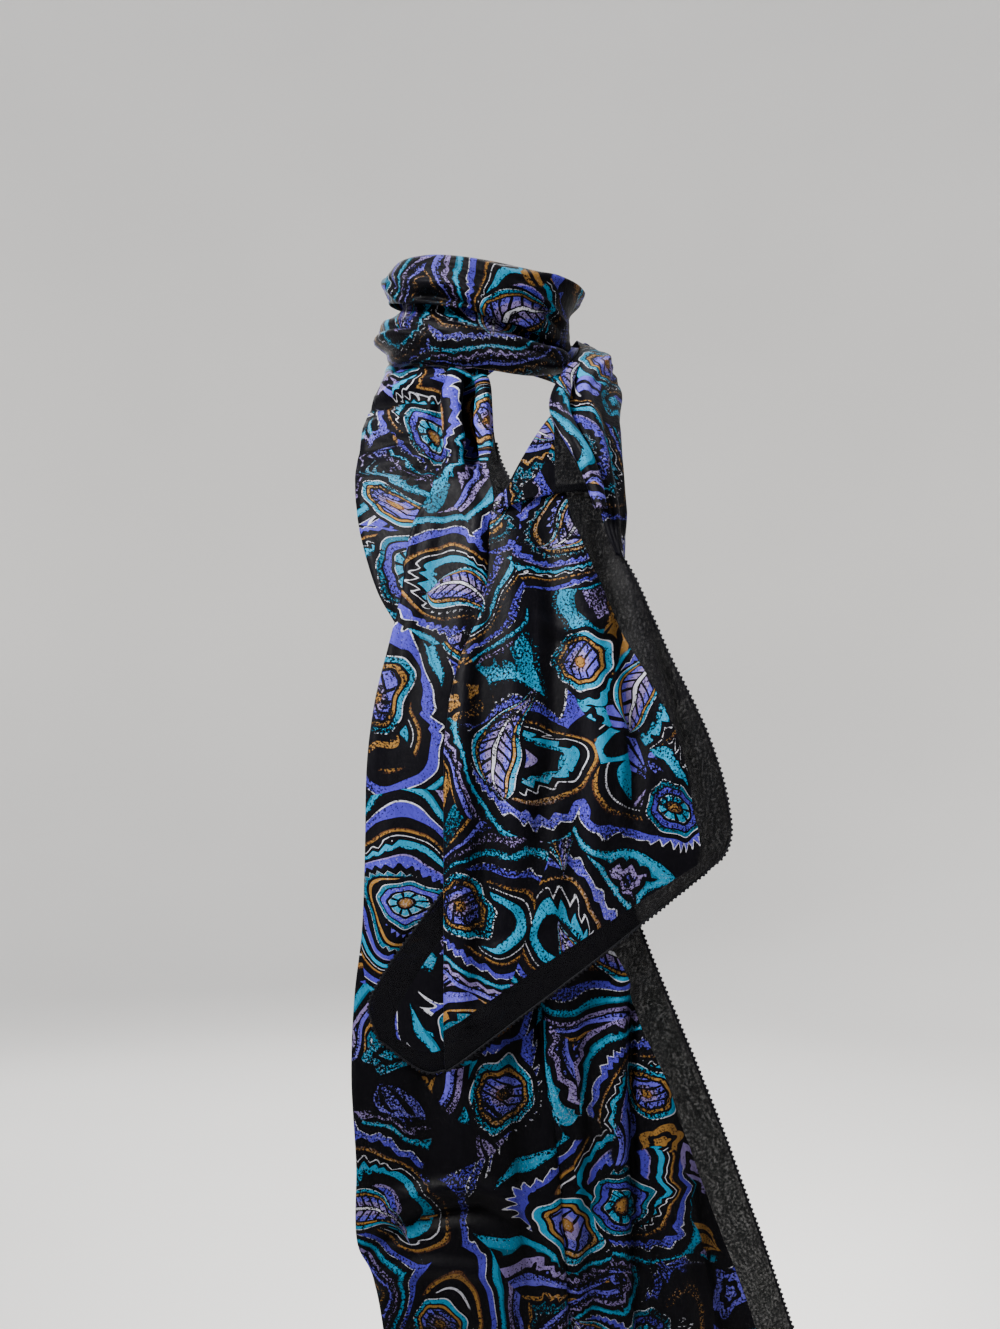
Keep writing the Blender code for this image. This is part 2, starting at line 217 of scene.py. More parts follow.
inks = {
    "black": (0.0014, 0.0013, 0.0022), "violet": (0.028, 0.021, 0.21), "periwinkle": (0.052, 0.043, 0.27),
    "teal": (0.001, 0.060, 0.105), "turquoise": (0.002, 0.122, 0.215), "lavender": (0.115, 0.085, 0.205),
    "ochre": (0.145, 0.072, 0.016), "brown": (0.055, 0.022, 0.008), "chalk": (0.30, 0.30, 0.34),
}


printLook = {
    "warp": 1.9, "wobble": 0.22,
    # scale, randomness, size, petals, depth of the petals
    "large": (1.0, 0.8, 0.27, 8.0, 0.035), "small": (2.4, 0.9, 0.19, 5.0, 0.16),
    # how the bands follow the flowers and a slow swell, how many there are, their saw teeth
    "reach": 1.7, "swell": 2.9, "bands": 0.46, "toothAngle": 0.11, "teeth": 0.9,
    "veins": 5.0, "stipple": 640.0,
}


def buildPrint():                    # generic flowers, leaves, toothed and waved bands on black
    tree, inlet, outlet = newGroup("marbledPrint", [
        ("Cloth", "Vector", None), ("Motif Pitch", "Float", 0.08), ("Stipple", "Float", 1.0)],
        [("Colour", "Color")])
    scaled = vectorCalc(tree, "DIVIDE", inlet.outputs["Cloth"], inlet.outputs["Motif Pitch"])
    warp = noise2d(tree, scaled, printLook["warp"], 1.0).outputs["Color"]
    centred = vectorCalc(tree, "SUBTRACT", warp, (0.5, 0.5, 0.5))
    moved = vectorCalc(tree, "MULTIPLY_ADD", centred, (printLook["wobble"], printLook["wobble"], 0.0), i2=scaled)

    def cellMotif(scale, randomness, size, petals, lobe):
        cell = addNode(tree, "TexVoronoi", {"voronoi_dimensions": "2D"}, Vector=moved, Scale=scale,
                       Randomness=randomness)
        chance = addNode(tree, "SeparateColor", i0=cell.outputs["Color"])
        local = vectorCalc(tree, "SUBTRACT", moved, cell.outputs["Position"])
        turned = addNode(tree, "VectorRotate", {"rotation_type": "Z_AXIS"}, Vector=local,
                         Angle=times(tree, chance.outputs[0], 6.283)).outputs[0]
        place = addNode(tree, "SeparateXYZ", i0=turned)
        radius = timesPlus(tree, chance.outputs[1], 0.4 * size, 0.8 * size)      # uneven sizes
        x = calc(tree, "DIVIDE", place.outputs[0], radius)
        y = calc(tree, "DIVIDE", place.outputs[1], radius)
        # flower: how far from its middle, waved by the petals
        oval = times(tree, x, 1.28)
        reach = calc(tree, "SQRT", calc(tree, "ADD", times(tree, oval, oval), times(tree, y, y)))
        angle = calc(tree, "ARCTAN2", y, oval)
        petal = calc(tree, "COSINE", times(tree, angle, petals))
        flower = calc(tree, "DIVIDE", reach, timesPlus(tree, petal, lobe, 1.0))
        # leaf: how far from its bent midrib, as a share of its half width
        long = times(tree, y, 0.70)
        bent = calc(tree, "ADD", timesPlus(tree, times(tree, long, long), -0.6, 0.2), x)
        belly = calc(tree, "SUBTRACT", 1.0, times(tree, long, long))
        fat = timesPlus(tree, long, -0.7, 1.0)
        width = calc(tree, "MAXIMUM", times(tree, times(tree, belly, fat), 0.66), 0.001)
        side = calc(tree, "ABSOLUTE", bent)
        leaf = calc(tree, "DIVIDE", side, width)
        isLeaf = calc(tree, "GREATER_THAN", chance.outputs[2], 0.5)
        level = addNode(tree, "Mix", i0=isLeaf, i2=flower, i3=leaf).outputs[0]
        vein = calc(tree, "FRACT", calc(tree, "ADD", times(tree, long, printLook["veins"]),
                                        times(tree, side, 2.2)))
        return level, isLeaf, petal, vein, chance, times(tree, reach, radius), angle

    level, isLeaf, petal, vein, chance, reach, angle = cellMotif(*printLook["large"])
    small, _, _, _, smallChance, _, _ = cellMotif(*printLook["small"])

    # bands that bend round the flowers; some have saw teeth
    swell = noise2d(tree, moved, 0.8, 0.0).outputs[0]
    patches = addNode(tree, "SeparateColor", i0=noise2d(tree, moved, 1.0, 1.0).outputs["Color"])
    plain = timesPlus(tree, reach, printLook["reach"], times(tree, swell, printLook["swell"]))
    spot = calc(tree, "FRACT", times(tree, plain, 2.0))
    window = times(tree, softStep(tree, spot, 0.30, 0.42), softStep(tree, spot, 0.95, 0.80))
    teeth = calc(tree, "PINGPONG", angle, printLook["toothAngle"])
    toothed = times(tree, times(tree, teeth, window),
                   softStep(tree, patches.outputs[0], 0.47, 0.50))
    bent = timesPlus(tree, toothed, printLook["teeth"], plain)
    band = calc(tree, "FRACT", times(tree, bent, printLook["bands"]))
    bands = ramp(tree, band, [
        (0.0, "black"), (0.05, "violet"), (0.115, "chalk"), (0.122, "black"),
        (0.185, "turquoise"), (0.235, "teal"), (0.255, "black"), (0.31, "lavender"),
        (0.352, "black"), (0.372, "periwinkle"), (0.425, "black"), (0.485, "ochre"),
        (0.515, "black"), (0.545, "teal"), (0.59, "chalk"), (0.597, "black"),
        (0.665, "violet"), (0.715, "lavender"), (0.73, "black"), (0.795, "turquoise"),
        (0.85, "black"), (0.89, "chalk"), (0.897, "black"), (0.93, "ochre"),
        (0.952, "brown"), (0.962, "black")])
    ground = softStep(tree, patches.outputs[1], 0.645, 0.655)
    base = blendColour(tree, ground, bands, inks["black"])

    # little leaves and blossoms on the plain ground
    smallInk = ramp(tree, smallChance.outputs[0], [
        (0.0, "ochre"), (0.3, "periwinkle"), (0.55, "turquoise"), (0.78, "lavender")])
    smallIn = times(tree, calc(tree, "LESS_THAN", small, 1.0), ground)
    smallCore = calc(tree, "LESS_THAN", calc(tree, "ABSOLUTE", calc(tree, "SUBTRACT", small, 0.45)), 0.14)
    base = blendColour(tree, smallIn, base, blendColour(tree, smallCore, smallInk, inks["black"]))

    # large flowers and leaves
    flowerInk = ramp(tree, level, [
        (0.0, "ochre"), (0.14, "brown"), (0.19, "black"), (0.26, "turquoise"),
        (0.46, "chalk"), (0.475, "black"), (0.57, "violet"), (0.74, "black"),
        (0.80, "teal"), (0.93, "chalk"), (0.955, "black")])
    leafInk = ramp(tree, level, [
        (0.0, "chalk"), (0.06, "black"), (0.12, "lavender"), (0.34, "periwinkle"),
        (0.56, "black"), (0.63, "ochre"), (0.72, "black"), (0.78, "turquoise"),
        (0.925, "chalk"), (0.955, "black")])
    ringed = times(tree, calc(tree, "GREATER_THAN", level, 0.26), calc(tree, "LESS_THAN", level, 0.475))
    petalGap = times(tree, calc(tree, "LESS_THAN", petal, -0.6), ringed)
    flowers = blendColour(tree, petalGap, flowerInk, inks["black"])
    veined = times(tree, calc(tree, "GREATER_THAN", level, 0.12), calc(tree, "LESS_THAN", level, 0.56))
    veinLine = times(tree, calc(tree, "LESS_THAN", vein, 0.3), veined)
    leaves = blendColour(tree, veinLine, leafInk, inks["black"])
    veinedRound = times(tree, calc(tree, "GREATER_THAN", chance.outputs[0], 0.5),
                       calc(tree, "GREATER_THAN", level, 0.19))
    crossed = blendColour(tree, veinedRound, flowers, leaves)
    motif = blendColour(tree, isLeaf, crossed, leaves)
    base = blendColour(tree, calc(tree, "LESS_THAN", level, 1.14), base, inks["black"])
    base = blendColour(tree, calc(tree, "LESS_THAN", level, 0.975), base, motif)

    # rubbed stipple: black specks eat into the inks, pale ones lie on them
    grain = noise2d(tree, inlet.outputs["Cloth"], printLook["stipple"], 2.0, Roughness=0.75).outputs["Color"]
    grains = addNode(tree, "SeparateColor", i0=grain)
    fading = calc(tree, "FRACT", times(tree, plain, 2.3))
    density = timesPlus(tree, patches.outputs[2], -0.62, timesPlus(tree, fading, -0.19, 0.92))
    specks = times(tree, softStep(tree, grains.outputs[0], density, calc(tree, "ADD", density, 0.03)),
                  inlet.outputs["Stipple"])
    rubbed = timesPlus(tree, patches.outputs[0], -0.55, 0.93)
    pale = times(tree, softStep(tree, grains.outputs[1], rubbed, calc(tree, "ADD", rubbed, 0.04)), 0.55)
    tint = blendColour(tree, 0.5, base, inks["chalk"])
    onInk = addNode(tree, "SeparateColor", {"mode": "HSV"}, i0=base)
    pale = times(tree, pale, calc(tree, "GREATER_THAN", onInk.outputs[2], 0.02))
    base = blendColour(tree, pale, base, tint)
    base = blendColour(tree, specks, base, inks["black"])
    tree.links.new(base, outlet.inputs["Colour"])
    return tree


def buildCrepe():                    # the crinkle of the silk and its uneven dye
    tree, inlet, outlet = newGroup("crepeCrinkle", [
        ("Cloth", "Vector", None), ("Crinkle", "Float", 1.0)],
        [("Height", "Float"), ("Mottle", "Float"), ("Grain", "Float")])
    cloth = inlet.outputs["Cloth"]
    fine = noise2d(tree, cloth, 1500.0, 2.0, Distortion=0.6).outputs[0]
    long = vectorCalc(tree, "MULTIPLY", cloth, (420.0, 130.0, 1.0))      # the crinkle runs down the cloth
    coarse = noise2d(tree, long, 1.0, 3.0, Distortion=1.2).outputs[0]
    height = times(tree, timesPlus(tree, fine, 0.45, coarse), inlet.outputs["Crinkle"])
    tree.links.new(height, outlet.inputs["Height"])
    tree.links.new(softStep(tree, coarse, 0.34, 0.66), outlet.inputs["Mottle"])
    specks = noise2d(tree, cloth, 620.0, 1.0, Roughness=0.7).outputs[0]
    clumped = timesPlus(tree, calc(tree, "SUBTRACT", coarse, 0.5), 0.8, specks)
    tree.links.new(softStep(tree, clumped, 0.36, 0.86), outlet.inputs["Grain"])
    return tree


def buildBorder():                   # how near the hem: 1 in the plain border, 0 in the print
    tree, inlet, outlet = newGroup("hemBorder", [
        ("Hem Distance", "Vector", None), ("Width", "Float", borderWidth * mm)],
        [("Border", "Float")])
    hem = addNode(tree, "SeparateXYZ", i0=inlet.outputs["Hem Distance"])
    near = calc(tree, "MINIMUM", hem.outputs[0], hem.outputs[1])
    tree.links.new(calc(tree, "LESS_THAN", near, inlet.outputs["Width"]), outlet.inputs["Border"])
    return tree


printGroup, crepeGroup, borderGroup = buildPrint(), buildCrepe(), buildBorder()


def grouped(tree, group, **inputs):
    return addNode(tree, "Group", {"node_tree": group}, **inputs)


def newMaterial(name):
    material = bpy.data.materials.new(name)
    material.use_nodes = True
    return material, material.node_tree, material.node_tree.nodes["Principled BSDF"]


def silkMaterial(name, look):
    material, tree, shader = newMaterial(name)
    cloth = addNode(tree, "UVMap", {"uv_map": "cloth"}).outputs[0]
    hem = addNode(tree, "UVMap", {"uv_map": "hem"}).outputs[0]
    printed = grouped(tree, printGroup, Cloth=cloth, Motif_Pitch=look["pitch"])
    crepe = grouped(tree, crepeGroup, Cloth=cloth, Crinkle=look["crinkle"])
    border = grouped(tree, borderGroup, Hem_Distance=hem).outputs[0]
    colour = blendColour(tree, border, printed.outputs["Colour"], look["plain"])
    fold = addNode(tree, "UVMap", {"uv_map": "fold"}).outputs[0]     # crease lift for painted fold shade and painted highlight, then painted shade over the print
    fold = addNode(tree, "SeparateXYZ", i0=fold)
    darkest, lightest = look["paintedFoldShadeRange"]
    # painted shade in the crease troughs and a painted highlight on their ridges, from the crease lift, kept
    # between darkest and lightest
    depth = timesPlus(tree, fold.outputs[0], look["paintedFoldShade"] / mm, 1.0)
    depth = calc(tree, "MINIMUM", calc(tree, "MAXIMUM", depth, darkest), lightest)
    # painted shade from the second channel darkens the colour further
    depth = times(tree, depth, timesPlus(tree, fold.outputs[1], -1 / mm, 1.0))
    uneven, least = look["mottle"]
    # real uneven dye, multiplied by the painted shade and painted highlight
    mottleAndPaintedShade = times(tree, timesPlus(tree, crepe.outputs["Mottle"], uneven, least), depth)
    colour = blendColour(tree, 1.0, colour,
                         addNode(tree, "CombineColor", i0=mottleAndPaintedShade, i1=mottleAndPaintedShade, i2=mottleAndPaintedShade).outputs[0], "MULTIPLY")
    rough = timesPlus(tree, crepe.outputs["Mottle"], 0.10, look["roughness"])
    thin = timesPlus(tree, crepe.outputs["Grain"], look["sheerSpread"], look["sheer"])
    alpha = calc(tree, "SUBTRACT", 1.0, times(tree, border, thin))
    bump = addNode(tree, "Bump", Height=crepe.outputs["Height"], Distance=look["bump"], Strength=0.6).outputs[0]
    feedAll(tree, shader, Base_Color=colour, Roughness=rough, Alpha=alpha, Normal=bump,
            Sheen_Weight=look["sheen"], Sheen_Roughness=look["sheenRoughness"], Sheen_Tint=look["sheenTint"],
            Specular_IOR_Level=look["gloss"])
    return material


# the fold tone and its range set the painted shade in crease troughs and the painted highlight on crease ridges
silkLook = {"pitch": 0.088, "crinkle": 1.0, "bump": 0.00035, "roughness": 0.44, "plain": (0.0018, 0.0018, 0.0024),
            "sheer": 0.07, "sheerSpread": 0.17, "sheen": 0.01, "sheenRoughness": 0.32,
            "sheenTint": (0.72, 0.76, 1.0, 1), "gloss": 0.035, "paintedFoldShade": 0.085, "paintedFoldShadeRange": (0.45, 1.3),
            "mottle": (0.22, 0.86)}
printedSilk = silkMaterial("printedSilk", silkLook)


threadLook = {"grain": 1800.0, "dark": (0.0015, 0.0015, 0.002), "light": (0.006, 0.006, 0.008), "bump": 0.0002,
              "roughness": 0.62, "gloss": 0.06}


def threadMaterial():
    material, tree, shader = newMaterial("picotThread")
    place = addNode(tree, "TexCoord").outputs["Object"]
    twist = addNode(tree, "TexNoise", Vector=place, Scale=threadLook["grain"], Detail=2.0).outputs[0]
    colour = ramp(tree, twist, [(0.3, threadLook["dark"]), (0.7, threadLook["light"])], "LINEAR")
    bump = addNode(tree, "Bump", Height=twist, Distance=threadLook["bump"]).outputs[0]
    feedAll(tree, shader, Base_Color=colour, Normal=bump, Roughness=threadLook["roughness"],
            Specular_IOR_Level=threadLook["gloss"])
    return material


picotThread = threadMaterial()
print("materials ready")


def addObject(name, data):
    thing = bpy.data.objects.new(name, data)
    bpy.context.scene.collection.objects.link(thing)
    return thing


def meshObject(name, points, faces, material):
    mesh = bpy.data.meshes.new(name)
    mesh.from_pydata(points, [], faces)
    mesh.shade_smooth()
    mesh.materials.append(material)
    return addObject(name, mesh)


# the last argument is a painted shade that darkens the piece's print
def makeCloth(name, grid, clothMap, hemMap, lift, nodes, paintedShade=0.0):
    rows, columns = grid.shape[:2]
    corners = (np.arange(rows - 1)[:, None] * columns + np.arange(columns - 1)).ravel()
    faces = np.stack([corners, corners + columns, corners + columns + 1, corners + 1], axis=1)
    piece = meshObject(name, (grid.reshape(-1, 3) * mm).tolist(), faces.tolist(), printedSilk)
    # the fold map carries the crease lift, which paints shade and highlight along the creases, and the painted
    # shade
    for label, values in (("cloth", clothMap), ("hem", hemMap), ("fold", (lift, paintedShade))):
        layer = piece.data.uv_layers.new(name=label)
        flat = np.stack([np.broadcast_to(value, lift.shape).ravel() for value in values], axis=1) * mm
        layer.data.foreach_set("uv", flat[faces.ravel()].ravel())
    wall = piece.modifiers.new("shell", "SOLIDIFY")
    wall.thickness = shell * mm
    wall.offset = 0
    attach(piece, "root")
    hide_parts(*nodes)
    width, length = rowArc(grid, 0)[:, -1].mean(), columnArc(grid, 0)[-1].mean()
    print(f"{name}: {rows} x {columns}, about {width:.0f} mm across and {length:.0f} mm long")
    return piece


noHem = (farAway, farAway)


# the collar: angle, top z, brim r, upper r, crease z, lip r, lower r, bottom z, bottom r
collar = {
    "rows": [
        (-118, 30, 64, 67, 6, 64, 68, -30, 62), (-90, 31, 66, 69, 7, 67, 73, -36, 66),
        (-60, 32, 66, 69, 1, 67, 73, -39, 67), (-30, 30, 65, 68, -5, 67, 72, -44, 67),
        (0, 25, 65, 68, -13, 66, 71, -48, 66), (30, 20, 67, 68, -22, 65, 70, -51, 65),
        (60, 18, 69, 65, -28, 62, 67, -46, 63), (90, 15, 69, 60, -26, 60.5, 62, -40, 59),
        (118, 16, 63, 61, -22, 60.5, 62, -38, 58)],
    # creases by angle and height
    "upperCreases": [
        ([(-56, 15), (-39, 11), (-14, 7), (-3, -3), (12, -15)], 5.5, 5.0),
        ([(-46, 3), (-28, 0), (-14, -5), (-4, -12)], 5.5, -5.0),
        ([(14, 10), (34, 1), (54, -10), (68, -14)], 2.8, 2.4), ([(14, 3), (36, -6), (58, -17)], 5, -3.4),
        ([(34, 16), (60, 13), (88, 10)], 3.2, 3.4), ([(-92, 24), (-70, 14), (-58, 3)], 5, 2.2),
        ([(-100, 16), (-84, 8), (-76, 0)], 5, -2.0), ([(-70, 22), (-60, 12), (-52, 2)], 4, -1.6),
        ([(-34, 24), (-12, 18), (10, 8)], 4, -2.0), ([(-20, 27), (6, 20), (22, 12)], 3.5, 1.6),
        ([(92, 12), (104, 4), (112, -8)], 5, 1.8), ([(80, 8), (96, -2), (106, -14)], 5, -1.6)],
    "lowerCreases": [
        ([(-104, -20), (-60, -20), (-34, -24)], 5, 2.8), ([(-8, -30), (50, -38)], 7, -2.8),
        ([(-96, -6), (-60, -11), (-28, -16), (-2, -24)], 3.5, 2.2),
        ([(-88, -13), (-50, -17), (-16, -25)], 3.5, -2.6),
        ([(-96, -29), (-64, -31), (-24, -36)], 4, -2.4), ([(-30, -20), (-22, -30), (-26, -42)], 5, 1.8),
        ([(10, -27), (36, -31), (64, -34)], 4, 1.8), ([(0, -38), (30, -44), (56, -44)], 4, 1.8),
        ([(60, -30), (88, -32), (110, -30)], 4.5, -1.4)],
    # the collar's print is darkened all over by painted shade, the shadow of a head above it
    "along": [16, 18, 18, 18, 18, 18, 18, 16], "ripple": (26, 6, 3.1), "wave": 0.9, "paintedShade": 0.28,
    # steps across, the column where the outside begins, where the print starts, flat size
    "upper": ([4, 6, 5, 6, 9, 14, 3], 20, (40, 10), (0.088, 0.255)),
    "lower": ([4, 8, 6, 8, 6, 3], 10, (210, 130), (0.062, 0.256)),
}


def collarCloth(side, sections, name, node):
    across, firstOuter, offset, flat = collar[side]
    grid = loft(sections, collar["along"], across)
    angle = np.degrees(np.arctan2(grid[..., 0], -grid[..., 1]))
    outer = np.interp(np.arange(grid.shape[1]), [firstOuter - 5, firstOuter], [0, 1])   # only the outside creases
    lift = creaseLift(collar[side + "Creases"], angle, grid[..., 2]) * outer
    lift += collar["wave"] * outer * ripple(angle, grid[..., 2], *collar["ripple"])
    grid = pushed(grid, lift, -1)
    clothMap = (columnArc(grid, len(grid) // 2) + offset[0], rowArc(grid, grid.shape[1] // 2) + offset[1])
    piece = makeCloth(name, grid, clothMap, noHem, lift, [node], collar["paintedShade"])


def buildCollar():
    upper, lower = [], []
    for angle, topZ, brimR, upperR, creaseZ, lipR, lowerR, bottomZ, bottomR in collar["rows"]:
        face = topZ + 0.45 * (creaseZ - topZ)
        upper.append([ringPoint(angle, r, z) for r, z in (
            (neckRadius + 0.5, creaseZ - 5), (neckRadius, 0.5 * (topZ + creaseZ)), (neckRadius + 1.5, topZ - 5),
            (brimR - 7, topZ), (brimR, topZ - 5), (upperR, face), (lipR, creaseZ + 2), (lipR - 2, creaseZ))])
        middle = 0.5 * (creaseZ + bottomZ)
        lower.append([ringPoint(angle, r, z) for r, z in (
            (neckRadius + 3.8, creaseZ + 5), (neckRadius + 5, creaseZ - 3), (lowerR - 1, middle + 4),
            (lowerR, middle - 4), (bottomR - 3, bottomZ), (neckRadius + 3.5, bottomZ + 4),
            (neckRadius + 2.5, bottomZ + 9))])
    collarCloth("upper", upper, "collarUpperRoll", "collar_upper_roll")
    collarCloth("lower", lower, "collarLowerRoll", "collar_lower_roll")


buildCollar()

# round the nape, seen from above: angle, top z, bottom z, inner r, outer r
napePasses = {
    "inner": [
        (-118.9, 30, -30, 51, 67), (-132, 33, -31, 51, 66), (-146, 34, -29, 51, 64), (-163, 30, -28, 51, 62),
        (-180, 18, -27, 51, 61), (-197, 2, -29, 52, 62), (-212, -8, -33, 59, 72), (-226, -12, -40, 66, 80),
        (-240, -15, -51, 68, 83), (-254, -16, -51, 68, 83)],
    "outer": [
        (118.9, 16, -38, 51, 62), (130, 26, -24, 51, 63), (144, 34, -8, 54, 67), (161, 36, -16, 63, 76),
        (180, 32, -32, 66, 80), (199, 20, -48, 68, 83), (216, 2, -60, 69, 84), (233, -18, -68, 67, 82),
        (250, -32, -71, 63, 77), (270, -41, -71, 57, 71), (288, -46, -69, 54, 67)],
    # creases along the pass: share of its length, share of its height
    "creases": [
        ([(2, 34), (30, 30), (60, 36)], 7, 2.2), ([(20, 52), (55, 46), (92, 54)], 7, -2.2),
        ([(8, 66), (40, 70), (70, 62)], 6, 1.8), ([(50, 24), (75, 28), (98, 22)], 5, 1.6),
        ([(30, 80), (60, 76), (96, 84)], 6, -1.5), ([(0, 50), (18, 58), (34, 60)], 5, 1.2)],
    "across": [5, 5, 7, 8, 8, 7, 5], "ripple": (16, 7, 5.7), "printUp": 16,
    # rows, node, where the print runs on, flat size, which way round, what it rests on
    "napeInnerPass": ("inner", "nape_inner_pass", -88, (0.10, 0.17), 1, "collar_upper_roll"),
    "napeOuterPass": ("outer", "nape_outer_pass", 168, (0.095, 0.24), -1, "nape_inner_pass"),
}


def shareGrid(grid):                 # share of the length and of the width, in hundredths
    return np.meshgrid(np.linspace(0, 100, len(grid)), np.linspace(0, 100, grid.shape[1]), indexing="ij")


def napeCloth(name):
    side, node, start, flat, turn, rests = napePasses[name]
    rows = napePasses[side]
    sections = []
    for angle, topZ, bottomZ, innerR, outerR in rows:
        height, depth = topZ - bottomZ, outerR - innerR
        sections.append([ringPoint(angle, r, z) for r, z in (
            (innerR, topZ - 0.55 * height), (innerR + 0.2 * depth, topZ - 0.15 * height),
            (innerR + 0.5 * depth, topZ), (outerR, topZ - 0.25 * height),
            (outerR - 0.22 * depth, topZ - 0.5 * height), (outerR, topZ - 0.75 * height),
            (innerR + 0.5 * depth, bottomZ), (innerR + 0.2 * depth, bottomZ + 0.15 * height))])
    grid = loft(sections, [10] * (len(rows) - 1), napePasses["across"])
    a, b = shareGrid(grid)
    outer = np.clip((b - 18) / 10, 0, 1) * np.clip((92 - b) / 10, 0, 1)
    lift = (creaseLift(napePasses["creases"], a, b) + 0.8 * ripple(a, b, *napePasses["ripple"])) * outer
    grid = pushed(grid, lift, turn)
    crown = sum(napePasses["across"][:3])
    clothMap = (start - turn * columnArc(grid, 0)[:, [grid.shape[1] // 2]],
                rowArc(grid, crown) + napePasses["printUp"])
    piece = makeCloth(name, grid, clothMap, noHem, lift, [node])


napeCloth("napeInnerPass")
napeCloth("napeOuterPass")

# picot hem: a rolled thread edge with a small loop at every pitch
picot = {"pitch": 3.3, "loop": 1.15, "cord": 0.7, "cordStep": 1.2, "cordSides": 6, "uneven": 0.18}


def unit(vectors):
    return vectors / np.maximum(np.linalg.norm(vectors, axis=1, keepdims=True), 1e-9)


def evenly(path, pitch):
    steps = np.linalg.norm(np.diff(path, axis=0), axis=1)
    place = np.concatenate([[0], np.cumsum(steps)])
    wanted = np.arange(0, place[-1], pitch)
    return np.stack([np.interp(wanted, place, path[:, k]) for k in range(3)], axis=1)


def makeHem(name, edges):            # edges: the hem's points and the points just inside it
    turn = 0.5 * (1 + 5 ** 0.5)
    ball = np.array([(-1, turn, 0), (1, turn, 0), (-1, -turn, 0), (1, -turn, 0), (0, -1, turn), (0, 1, turn),
                     (0, -1, -turn), (0, 1, -turn), (turn, 0, -1), (turn, 0, 1), (-turn, 0, -1), (-turn, 0, 1)])
    ball /= np.linalg.norm(ball[0])
    ballFaces = np.array([
        (0, 11, 5), (0, 5, 1), (0, 1, 7), (0, 7, 10), (0, 10, 11), (1, 5, 9), (5, 11, 4), (11, 10, 2), (10, 7, 6),
        (7, 1, 8), (3, 9, 4), (3, 4, 2), (3, 2, 6), (3, 6, 8), (3, 8, 9), (4, 9, 5), (2, 4, 11), (6, 2, 10),
        (8, 6, 7), (9, 8, 1)])
    points, faces, count = [], [], 0
    for edge, inside in edges:
        middle = evenly(edge, picot["cordStep"])
        away = evenly(edge, picot["pitch"])
        back = np.stack([np.interp(np.linspace(0, 1, len(away)), np.linspace(0, 1, len(inside)), inside[:, k])
                         for k in range(3)], axis=1)
        outward = away - back
        along = unit(np.gradient(away, axis=0))
        outward = unit(outward - along * (outward * along).sum(axis=1, keepdims=True))
        uneven = [1 + picot["uneven"] * noise.noise((0.7 * k, 2.3, 4.1)) for k in range(len(away))]
        for centre, out, size in zip(away, outward, uneven):
            points.append(centre + out * 0.6 * picot["loop"] + ball * picot["loop"] * size)
            faces += (ballFaces + count).tolist()
            count += len(ball)
        direction = unit(np.gradient(middle, axis=0))
        side = unit(np.cross(direction, (0.0, -1.0, 0.0)))
        up = np.cross(side, direction)
        sides, n = picot["cordSides"], len(middle)
        for k in range(sides):
            angle = math.radians(360 / sides * k)
            points.append(middle + picot["cord"] * (math.cos(angle) * side + math.sin(angle) * up))
        for k in range(sides):
            first, second = count + k * n, count + (k + 1) % sides * n
            faces += [(first + i, first + i + 1, second + i + 1, second + i) for i in range(n - 1)]
        count += sides * n
    piece = meshObject(name, (np.concatenate(points) * mm).tolist(), faces, picotThread)
    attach(piece, "root")
    return piece


